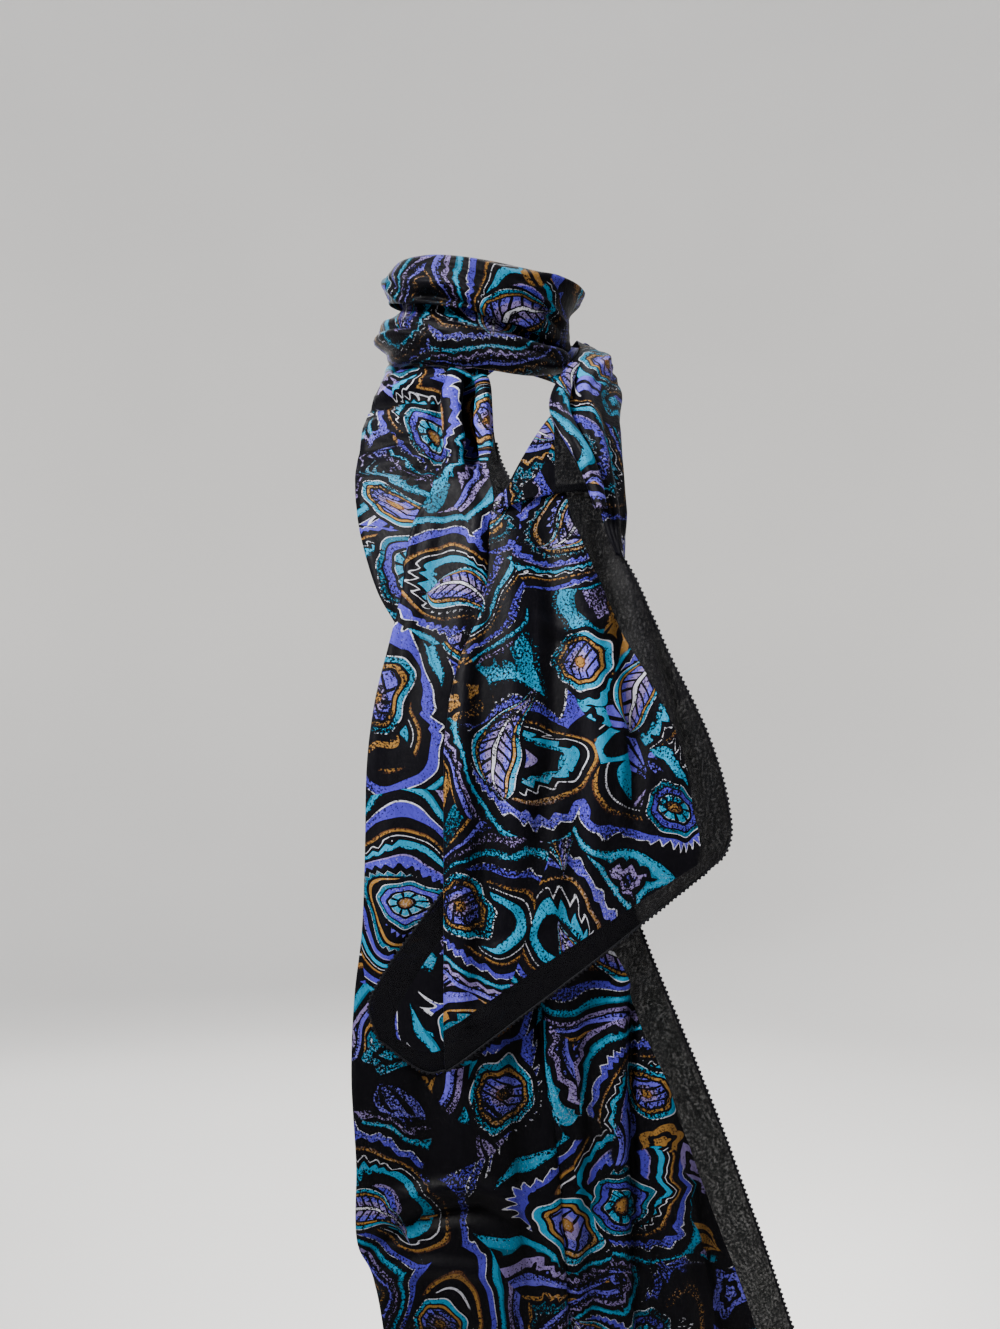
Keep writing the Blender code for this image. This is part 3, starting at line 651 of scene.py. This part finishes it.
# the long tail: z, hem z, rear x, tuck x, edge x, pleat, groove x, groove, hem x, out
leftTail = {
    "lift": 3.0, "pleatStep": 3.8, "hairpin": 4.5,
    "rows": [
        (-43.2, -51.8, -57, -32, -32, 0.0, -12, 2, 0, -4), (-47, -55, -66, -32, -32, 0.0, -11, 4, 4, 1),
        (-58, -62, -73, -31, -31, 0.0, -10, 7, 6, 1), (-76, -76, -79, -30, -30, 0.0, -9, 10, 7, 0),
        (-94, -94, -82, -28, -28, 0.04, -8, 11, 8, 0), (-112, -112, -84, -20, -30, 0.14, -6, 9, 12, 0),
        (-130, -130, -84, -15, -36, 0.65, -2, 4, 20, 0), (-152, -152, -81, -14, -43, 1.0, 3, 1, 27, 0),
        (-178, -178, -74, -12, -48, 1.0, 8, 0, 35, 0), (-200, -200, -66, -14, -51, 1.0, 12, 0, 42, 0),
        (-230, -230, -50, -16, -58, 1.0, 15, 0, 50, 0), (-268, -268, -46, -18, -67, 1.0, 18, 0, 60, 0),
        (-310, -310, -48, -20, -72, 1.0, 22, 1, 72, 0), (-360, -358, -50, -22, -73, 1.0, 27, 3, 86, 0),
        (-412, -410, -52, -24, -75, 1.0, 32, 5, 100, 0), (-455, -450, -56, -26, -80, 1.0, 36, 6, 116, -1),
        (-505, -498, -58, -28, -82, 1.0, 42, 7, 136, -1), (-560, -548, -56, -26, -79, 1.0, 46, 7, 156, -1),
        (-612, -595, -51, -22, -78, 1.0, 50, 8, 173, -1), (-630, -611, -49, -20, -69, 1.0, 51, 8, 179, -1),
        (-680, -655, -44, -18, -60, 1.0, 54, 8, 194, -1),
        (-740, -705, -42, -16, -58, 1.0, 58, 8, 212, -1), (-800, -752, -42, -14, -56, 1.0, 62, 8, 229, -1)],
    "along": [2, 4, 6, 6, 6, 6, 8, 9, 8, 10, 12, 14, 16, 16, 14, 16, 17, 17, 8, 15, 18, 18],
    "across": [7, 6, 3, 3, 7, 3, 4, 16, 6, 6, 20, 28],
    # creases by x and z
    "frontCreases": [
        ([(-17, -50), (-20, -76), (-17, -104), (-22, -122)], 8, 8.0),
        ([(-6, -48), (-11, -80), (-6, -116)], 6, -11.0),
        ([(1, -55), (0, -85), (6, -118)], 6, 5.5), ([(-27, -58), (-32, -84), (-30, -108)], 6, -5.0),
        ([(-72, -62), (-46, -55), (-22, -52)], 5, 6.0), ([(-76, -70), (-50, -65), (-30, -65)], 4.5, -5.5),
        ([(-80, -86), (-56, -78), (-30, -82)], 7, 4.4), ([(-82, -102), (-60, -95), (-38, -96)], 6.5, -4.4),
        ([(-84, -120), (-66, -112), (-44, -112)], 7, 3.4), ([(-86, -150), (-72, -138), (-58, -136)], 8, -2.6),
        ([(-4, -116), (-26, -122), (-38, -134), (-45, -158), (-50, -190)], 4.5, 5.0),
        ([(-10, -106), (-32, -110), (-47, -124), (-54, -146)], 4.5, -5.0),
        ([(-46, -156), (-52, -200), (-66, -260), (-70, -330)], 8, 2.8),
        ([(-20, -140), (-34, -200), (-48, -290)], 8, -2.6),
        ([(4, -126), (-8, -180), (-20, -260)], 8, 2.6), ([(14, -130), (8, -170), (4, -230)], 6, -2.2),
        ([(-60, -330), (-58, -410), (-64, -500)], 11, 4.0), ([(-40, -400), (-43, -480), (-36, -560)], 10, -5.4),
        ([(-14, -420), (-17, -500), (-8, -566)], 13, 6.0),
        ([(14, -430), (20, -510), (26, -600), (24, -720)], 9, -6.6),
        ([(42, -400), (46, -470), (44, -560), (50, -660), (46, -760)], 10, 6.0),
        ([(66, -430), (70, -520), (68, -610), (76, -730)], 9, -4.6),
        ([(97, -400), (96, -500), (98, -600), (102, -740)], 5, -7.0),
        ([(87, -410), (86, -500), (87, -640)], 7, 4.4),
        ([(110, -470), (118, -560), (130, -670), (142, -770)], 12, 5.4),
        ([(134, -540), (152, -640), (172, -740)], 9, -4.6), ([(160, -600), (182, -690), (200, -750)], 10, 3.8),
        ([(-80, -604), (-46, -578), (-8, -570), (20, -578), (42, -604)], 7, 6.0),
        ([(-76, -620), (-42, -596), (-4, -588), (26, -600)], 7, -6.0),
        ([(-74, -640), (-36, -622), (6, -626), (30, -650)], 9, 4.0),
        ([(-62, -676), (-20, -664), (24, -690)], 11, -3.6),
        ([(-52, -720), (-14, -700), (16, -740)], 11, 3.4), ([(-10, -640), (-4, -700), (-8, -770)], 10, -3.0),
        ([(114, -452), (98, -444), (70, -446)], 7, 3.4), ([(116, -464), (98, -460), (76, -466)], 6, -2.6)],
    "rearCreases": [
        ([(-80, -150), (-66, -200), (-52, -250)], 7, 1.6), ([(-66, -150), (-58, -190), (-50, -230)], 6, -1.4)],
    "flat": (0.26, 0.76),
    # how far down painted shade darkens the print; how far down the hem lies that far beyond the edge
    "paintedShadeFrom": [(380, 0.0), (450, 0.22), (540, 0.42)],
    "borderFrom": [(43, 25), (92, 24), (112, 14), (150, 6), (220, 1), (330, 0), (800, 0)],
    "ripple": (11, 34, 1.3), "printSlant": 0.31, "hemFromRow": 20,
}


def buildLeftTail():
    sections = []
    for z, hemZ, rearX, tuckX, edgeX, pleat, grooveX, groove, hemX, out in leftTail["rows"]:
        fold = 0.5 * (tuckX + edgeX)
        turn = leftTail["hairpin"] * max(pleat, 0.3)
        flat = [rearX, 0.5 * (rearX + fold)] + [fold + gap for gap in (-9, -5, -2, 2, 5, 9)]
        folded = (rearX, 0.5 * (rearX + tuckX), tuckX - turn, tuckX, tuckX - turn,
                  edgeX + turn, edgeX, edgeX + turn)
        layer = leftTail["pleatStep"] * math.sin(0.5 * math.pi * min(3 * pleat, 1))
        slope = 1 - pleat
        lifts = (0, 0, 0, 0.5 - 0.2 * slope, 1 - 0.4 * slope, 1 + 0.4 * slope, 1.5 + 0.2 * slope, 2)
        places = [(a + pleat * (b - a), lift * layer) for a, b, lift in zip(flat, folded, lifts)]
        wide = pleat > 0.5
        places += [
            (grooveX - 9, 2 * layer + 3), (grooveX, 2 * layer + 1 - 0.6 * groove),
            (grooveX + (9 if wide else 5), 2 * layer + 3),
            (0.5 * (grooveX + hemX) + (4 if wide else 3), 2 * layer + 1), (hemX, 2 * layer - 1)]
        section = []
        for x, lift in places:
            share = min(max((x - edgeX) / (hemX - edgeX), 0), 1)
            level = z + share * (hemZ - z)
            section.append((x, chestFront(x, level) - leftTail["lift"] - lift - out, level))
        sections.append(section)
    grid = loft(sections, leftTail["along"], leftTail["across"])
    x, z = grid[..., 0], grid[..., 2]
    edges = np.cumsum([0] + leftTail["across"])
    front = np.zeros(grid.shape[:2])
    front[:, edges[7]:] = 1
    front[:, edges[6]:edges[7]] = np.linspace(0, 1, edges[7] - edges[6], endpoint=False)
    rear = np.zeros(grid.shape[:2])
    rear[:, :edges[1]] = 1
    pleatRow = np.interp(-z, [110, 150], [1, 0])        # above the pleat the whole width is one layer
    front = np.maximum(front, pleatRow)
    calm = np.interp(-z, [44, 54], [0, 1])
    lift = front * creaseLift(leftTail["frontCreases"], x, z)
    lift += np.maximum(rear - pleatRow, 0) * creaseLift(leftTail["rearCreases"], x, z)
    lift += 0.9 * front * ripple(x, z, *leftTail["ripple"]) * np.interp(-z, [100, 400], [0.8, 1.5])
    grid = pushed(grid, lift * calm)
    arc = rowArc(grid, edges[6]) + grid[:, [edges[6]], 0]
    down = columnArc(grid, 0)[:, [edges[8]]] + (grid[:, [edges[8]], 2] - z)
    slant = leftTail["printSlant"]
    clothMap = (0.95 * arc - slant * down, -0.95 * down - slant * arc)
    toHem = -rowArc(grid, grid.shape[1] - 1) * 0.95 + np.interp(-z, *zip(*leftTail["borderFrom"]))
    toEnd = -columnArc(grid, len(grid) - 1)
    # painted shade: the print is darker towards the lower stretch
    paintedShade = np.interp(-z, *zip(*leftTail["paintedShadeFrom"]))
    piece = makeCloth("leftTail", grid, clothMap, (toHem, toEnd), lift, ["left_tail_upper", "left_tail_lower"],
                      paintedShade)
    start = leftTail["hemFromRow"]
    hem = makeHem("leftTailHem", [(grid[start:, -1], grid[start:, -3]), (grid[-1], grid[-3])])


buildLeftTail()

# the short tail over the shoulder: inner, crown, side and outer point of each line from the nape to its end
rightShoulder = {
    "rows": [
        ((63, 24, -18), (80, 23, -21), (86, 22.8, -38), (72, 19.1, -49)),
        ((66, 5, -17), (83, 6, -26), (90, 8, -43), (82, 8, -60)),
        ((66, -18, -28), (84, -22, -34), (93, -16, -48), (90, -2, -64)),
        ((58, -34, -43), (74, -46, -49), (92, -34, -59), (93, -12, -70)),
        ((55, -51, -66), (70, -66, -66), (90, -52, -76), (93, -26, -86)),
        ((57, -74, -88), (74, -84, -90), (90, -68, -98), (91, -42, -106)),
        ((67, -91, -110), (79, -95, -112), (91, -80, -120), (91, -56, -126)),
        ((74, -101, -136), (83, -103, -138), (92, -92, -144), (93, -72, -148)),
        ((80, -105, -160), (86, -109, -162), (91, -102, -166), (93, -88, -168)),
        ((86, -109, -175), (89, -111, -176), (91, -107, -177), (92, -98, -178))],
    # creases by share of the length, share of the width
    "creases": [
        ([(0, 30), (20, 34), (44, 24)], 9, 2.6), ([(6, 52), (30, 56), (60, 46), (84, 52)], 9, -2.4),
        ([(26, 12), (40, 20), (56, 34)], 8, 2.2), ([(44, 70), (64, 64), (92, 70)], 9, 2.0),
        ([(2, 78), (22, 80), (42, 74)], 8, 1.8), ([(52, 20), (70, 24), (96, 30)], 8, -1.6)],
    "ripple": (14, 9, 8.2), "print": (-260, 26), "flat": (0.06, 0.215),
}
# the roll at the collar's right corner: x, y, z, radius
rightRoll = {
    "rows": [(62, -44, -41, 4.0), (55, -61, -57, 6.0), (51, -79, -76, 7.0), (57, -96.2, -94, 7.0),
             (66, -107.2, -112, 6.5), (72, -113.2, -130, 5.5), (76, -118, -146, 4.0)],
    "turns": (-115, -60, 0, 60, 115),
    "creases": [([(10, 40), (40, 55), (80, 48)], 14, 1.0), ([(24, 70), (60, 30)], 10, -0.8)],
    "ripple": (12, 20, 2.6), "print": (960, 210), "flat": (0.025, 0.13),
}
# the turned-down corner beside it: left x and z, right x and z, their lifts
rightFlap = {
    "rows": [(43, -84, 50, -86, 17, 17), (34, -98, 58, -98, 25, 23), (24, -116, 66, -112, 28, 25),
             (15, -134, 72, -124, 28.8, 26.5), (8, -148, 76, -133, 28.8, 26.5)],
    "arch": 4.0, "borderAt": 47,
    "ripple": (9, 12, 6.4), "print": (1100, -60), "flat": (0.068, 0.07), "area": 0.0031,
}
# its panel: hem x and z, edge x and z, tuck x and z, left x and z, drop, pleat
rightPanel = {
    "lift": 23.2, "pleatStep": 3.8, "hairpin": 4.5,
    "rows": [
        (74, -126, 10, -136, 22, -134, 18, -136, 0, 0.7), (78, -144, 6, -152, 22, -150, 18, -152, 0, 0.9),
        (86, -168, 5, -178, 22, -176, 18, -178, 0, 1.0), (97, -192, 1, -208, 20, -206, 16, -209, 0, 1.0),
        (112, -222, -14, -244, 12, -241, 8, -244, 0, 1.0), (128, -256, -22, -288, 6, -284, 1, -287, 0, 1.0),
        (143, -288, -23, -334, 4, -329, -3, -333, 0, 1.0), (152, -314, -23, -374, 2, -369, -16, -375, 0, 1.0),
        (157, -337, -23, -414, 2, -409, -38, -406, 1, 1.0), (158, -353, -23, -452, 2, -444, -60, -438, 5, 1.0),
        (153, -366, -23, -478, 2, -467, -70, -459, 10, 1.0), (140, -377, -22, -498, 2, -484, -64, -480, 18, 1.0)],
    "along": [7, 11, 12, 14, 16, 17, 16, 16, 15, 10, 8],
    "across": [14, 18, 20, 18, 6, 4, 10, 4, 9, 12],
    # creases by x and z
    "creases": [
        ([(-12, -230), (-14, -330), (-13, -420), (-14, -488)], 9, 3.6),
        ([(4, -180), (0, -260), (2, -350), (-2, -470)], 10, -4.4),
        ([(24, -156), (20, -240), (24, -330), (14, -420)], 13, 4.6),
        ([(40, -150), (46, -220), (44, -300), (34, -380)], 11, -4.6),
        ([(56, -150), (68, -220), (74, -300), (66, -400)], 12, 5.0),
        ([(70, -146), (88, -210), (98, -290), (94, -372)], 10, -4.8),
        ([(82, -160), (106, -226), (120, -290), (122, -356)], 11, 4.4),
        ([(98, -200), (120, -252), (138, -316), (142, -352)], 8, -3.4),
        ([(28, -214), (56, -222), (92, -212)], 6, 1.5), ([(34, -226), (60, -234), (98, -222)], 6, -1.5),
        ([(-6, -300), (14, -322), (20, -352)], 10, 2.4), ([(50, -330), (58, -366), (48, -420)], 9, -2.8),
        ([(-8, -430), (16, -420), (44, -396)], 8, 2.2), ([(126, -300), (140, -336), (134, -372)], 8, 2.6),
        ([(-50, -450), (-20, -462), (20, -466)], 8, 1.4)],
    "ripple": (13, 30, 9.7), "print": 1300, "leftHemFromRow": 60, "flat": (0.21, 0.335),
}


def buildRightTail():
    grid = loft(rightShoulder["rows"], [8, 9, 9, 10, 9, 9, 9, 9, 6], [10, 14, 12])
    a, b = shareGrid(grid)
    ends = np.clip(np.minimum(a, 100 - a) / 8, 0, 1)
    lift = (creaseLift(rightShoulder["creases"], a, b) + 0.8 * ripple(a, b, *rightShoulder["ripple"])) * ends
    grid = pushed(grid, lift)
    printX, printZ = rightShoulder["print"]
    clothMap = (printX - columnArc(grid, 0)[:, [18]], rowArc(grid, 10) + printZ)
    shoulder = makeCloth("rightTailShoulder", grid, clothMap, noHem, lift, ["right_tail_shoulder"])

    sections = [[(x + r * math.sin(math.radians(turn)), y - r * math.cos(math.radians(turn)) + r, z)
                 for turn in rightRoll["turns"]] for x, y, z, r in rightRoll["rows"]]
    grid = loft(sections, [9, 9, 9, 9, 9, 8], [6, 7, 7, 6])
    a, b = shareGrid(grid)
    lift = creaseLift(rightRoll["creases"], a, b) + 0.5 * ripple(a, b, *rightRoll["ripple"])
    grid = pushed(grid, lift * np.clip(np.minimum(a, 100 - a) / 8, 0, 1))
    printX, printZ = rightRoll["print"]
    clothMap = (rowArc(grid, 12) + printX, columnArc(grid, 0) + printZ)
    roll = makeCloth("rightTailRoll", grid, clothMap, noHem, lift, ["right_tail_roll"])

    sections = []
    for leftX, leftZ, rightX, rightZ, leftLift, rightLift in rightFlap["rows"]:
        section = []
        for share in (0, 0.35, 0.7, 1):
            x = leftX + share * (rightX - leftX)
            z = leftZ + share * (rightZ - leftZ) + rightFlap["arch"] * math.sin(math.pi * share)
            section.append((x, chestFront(x, z) - leftLift - share * (rightLift - leftLift), z))
        sections.append(section)
    grid = loft(sections, [8, 9, 9, 7], [12, 12, 10])
    lift = 0.5 * ripple(grid[..., 0], grid[..., 2], *rightFlap["ripple"])
    grid = pushed(grid, lift)
    printX, printZ = rightFlap["print"]
    clothMap = (grid[..., 0] + printX, grid[..., 2] + printZ)
    toHem = borderWidth + rightFlap["borderAt"] - grid[..., 0]
    flap = makeCloth("rightTailFlap", grid, clothMap, (toHem, farAway), lift, ["right_tail_flap"])

    sections = []
    for hemX, hemZ, edgeX, edgeZ, tuckX, tuckZ, leftX, leftZ, drop, pleat in rightPanel["rows"]:
        front, layer, turn = rightPanel["lift"], rightPanel["pleatStep"] * pleat, rightPanel["hairpin"]
        hem, edge, tuck, left = (np.array(p, float) for p in (
            (hemX, hemZ), (edgeX, edgeZ), (tuckX, tuckZ), (leftX, leftZ)))
        across = (hem - edge) / np.linalg.norm(hem - edge)
        back = (tuck - edge) / np.linalg.norm(tuck - edge)
        places = [
            (hem, front - 3), (hem + 0.22 * (edge - hem), front), (hem + 0.45 * (edge - hem), front + 2),
            (hem + 0.70 * (edge - hem), front + 1), (edge + 2 * turn * across, front + 2),
            (edge, front - 0.5 * layer + 1), (edge + turn * back, front - layer),
            (tuck - turn * back, front - layer),
            (tuck, front - 1.5 * layer), (tuck + 0.5 * (left - tuck) - np.array([0, drop]), front - 2 * layer),
            (left, front - 2 * layer)]
        sections.append([(x, chestFront(x, z) - lift, z) for (x, z), lift in places])
    grid = loft(sections, rightPanel["along"], rightPanel["across"])
    edges = np.cumsum([0] + rightPanel["across"])
    x, z = grid[..., 0], grid[..., 2]
    front = np.zeros(grid.shape[:2])
    front[:, :edges[5]] = 1
    front[:, edges[4]:edges[5]] = np.linspace(1, 0.2, edges[5] - edges[4])
    lift = front * (creaseLift(rightPanel["creases"], x, z) + 0.8 * ripple(x, z, *rightPanel["ripple"]))
    grid = pushed(grid, lift * np.interp(-z, [126, 150], [0.2, 1]), -1)
    hidden = np.arange(grid.shape[1]) > edges[5]         # what lies turned back behind the pleat's edge
    arc = rowArc(grid, edges[5]) * np.where(hidden, 1, 0.97)
    clothMap = (grid[:, [edges[5]], 0] - arc + rightPanel["print"], z)
    toHem = np.minimum(rowArc(grid, 0) * 0.95, 6 - rowArc(grid, grid.shape[1] - 1))
    toEnd = 12 * hidden - columnArc(grid, len(grid) - 1) * 0.93
    panel = makeCloth("rightTailPanel", grid, clothMap, (toHem, toEnd), lift, ["right_tail_panel"])
    start = rightPanel["leftHemFromRow"]
    hem = makeHem("rightTailHem", [(grid[:, 0], grid[:, 2]), (grid[-1, :edges[5]], grid[-3, :edges[5]]),
                                   (grid[-1, edges[8]:], grid[-3, edges[8]:]),
                                   (grid[start:, -1], grid[start:, -3])])


buildRightTail()
print("pieces ready")


studio = {
    "floor": -0.98, "flatRadius": 2.3, "bend": 0.9, "wall": 2.6, "sides": 96,
    "paper": (0.93, 0.915, 0.89), "air": (0.93, 0.95, 1.0, 1), "airPower": 0.72,
    # level, 1.2 m in front; 1000 x 1329 pixels take in 0.700 x 0.930 m at the neck
    "eye": (0.0119, -1.2, -0.2447), "sensor": 36, "tall": 1329 * 0.0007,
    # name: place, aim, size, spread in degrees, power, colour
    "lamps": {
        "keySoftbox": ((-0.85, -0.95, 0.75), (0.03, -0.10, -0.17), 0.5, 62, 14.0, (1.0, 0.985, 0.96)),
        "fillSoftbox": ((1.45, -1.35, 0.3), (0.0, -0.05, -0.3), 1.5, 180, 4.0, (0.94, 0.965, 1.0)),
        "topSoftbox": ((0.2, 0.35, 1.25), (0.0, 0.0, -0.2), 1.2, 180, 26.0, (1.0, 0.99, 0.97)),
        "backSoftbox": ((-0.5, 1.9, 0.5), (0.0, 0.0, -0.3), 1.4, 180, 30.0, (1.0, 0.99, 0.97)),
    },
}


def buildStudio():
    profile = [(0.0, 0.0), (0.8, 0.0), (1.6, 0.0), (studio["flatRadius"], 0.0)]
    bend, bendSteps = studio["bend"], 12
    for k in range(1, bendSteps + 1):
        turn = math.radians(90 * k / bendSteps)
        profile.append((studio["flatRadius"] + bend * math.sin(turn), bend * (1 - math.cos(turn))))
    profile.append((profile[-1][0], studio["wall"]))
    sides = studio["sides"]
    points, faces = [(0.0, 0.0, studio["floor"])], []
    for radius, rise in profile[1:]:
        points += [(radius * math.cos(2 * math.pi * k / sides), radius * math.sin(2 * math.pi * k / sides),
                    studio["floor"] + rise) for k in range(sides)]
    for k in range(sides):
        faces.append((0, 1 + k, 1 + (k + 1) % sides))
        for ring in range(len(profile) - 2):
            a, b = 1 + ring * sides + k, 1 + ring * sides + (k + 1) % sides
            faces.append((a, a + sides, b + sides, b))
    material, tree, shader = newMaterial("palePaper")
    place = addNode(tree, "TexCoord").outputs["Object"]
    grain = addNode(tree, "TexNoise", Vector=place, Scale=1.3, Detail=2.0).outputs[0]
    paper = studio["paper"]
    tree.links.new(ramp(tree, grain, [(0.3, tuple(0.97 * c for c in paper)), (0.7, tuple(1.03 * c for c in paper))],
                        "LINEAR"), shader.inputs["Base Color"])
    shader.inputs["Roughness"].default_value = 0.85
    meshObject("paperSweep", points, faces, material)

    for name, (place, aim, size, spread, power, colour) in studio["lamps"].items():
        lamp = bpy.data.lights.new(name, "AREA")
        lamp.shape = "SQUARE"
        lamp.size = size
        lamp.spread = math.radians(spread)
        lamp.energy = power
        lamp.color = colour
        holder = addObject(name, lamp)
        holder.location = place
        holder.rotation_euler = (Vector(aim) - Vector(place)).to_track_quat("-Z", "Y").to_euler()
        holder.visible_camera = False

    world = bpy.data.worlds.new("studioAir")
    world.use_nodes = True
    air = world.node_tree.nodes["Background"]
    air.inputs[0].default_value = studio["air"]
    air.inputs[1].default_value = studio["airPower"]
    bpy.context.scene.world = world

    eye = bpy.data.cameras.new("eye")
    eye.sensor_width = studio["sensor"]
    eye.lens = -studio["sensor"] * studio["eye"][1] / studio["tall"]
    camera = addObject("eye", eye)
    camera.location = studio["eye"]
    camera.rotation_euler = (math.radians(90), 0, 0)
    bpy.context.scene.camera = camera


buildStudio()
print("studio ready")
